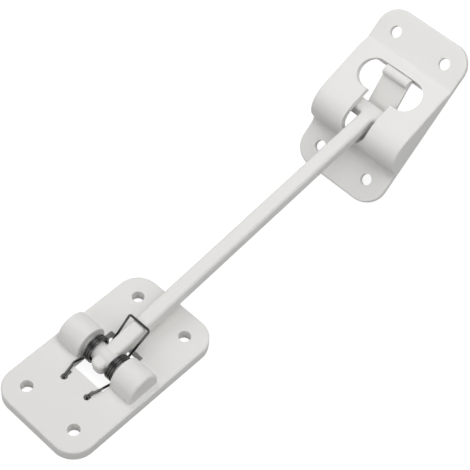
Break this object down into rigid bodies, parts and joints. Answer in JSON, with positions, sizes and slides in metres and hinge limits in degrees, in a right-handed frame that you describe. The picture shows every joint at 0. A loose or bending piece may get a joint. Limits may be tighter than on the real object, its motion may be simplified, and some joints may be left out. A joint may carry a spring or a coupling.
{
  "type": "door retainer catch",
  "caption": "White moulded door holder: a sprung T-ended arm on a screw-down pivot plate, caught in a hooded receiver with a keyhole slot and a spring tongue.",
  "frame": {"origin": "centre of the base's screw pattern, on the base's underside", "axes": "+X along the plates from the base towards the receiver, +Z away from the surface under the base"},
  "size_m": [0.2238, 0.0444, 0.055],
  "materials": {
    "white_plastic": "satin off-white moulding with softened edges",
    "spring_wire": "dark drawn spring wire"
  },
  "bodies": {
    "base": {"pivot_base": "white_plastic", "torsion_spring": "spring_wire"},
    "arm": {"catch_arm": "white_plastic"},
    "receiver": {"receiver": "white_plastic"}
  },
  "joints": [
    {"name": "arm_pivot", "type": "hinge", "parent": "base", "child": "arm", "pos_m": [0, 0, 0.00673], "axis": [0, -1, 0], "range_deg": [0, 92], "stiffness_Nm_per_rad": 0.15, "springref_deg": -11.46, "deforming": ["torsion_spring"]},
    {"name": "receiver_swing", "type": "hinge", "parent": "arm", "child": "receiver", "pos_m": [0.15099, 0, 0.02741], "axis": [0, -1, 0], "range_deg": [-4, 100]}
  ]
}
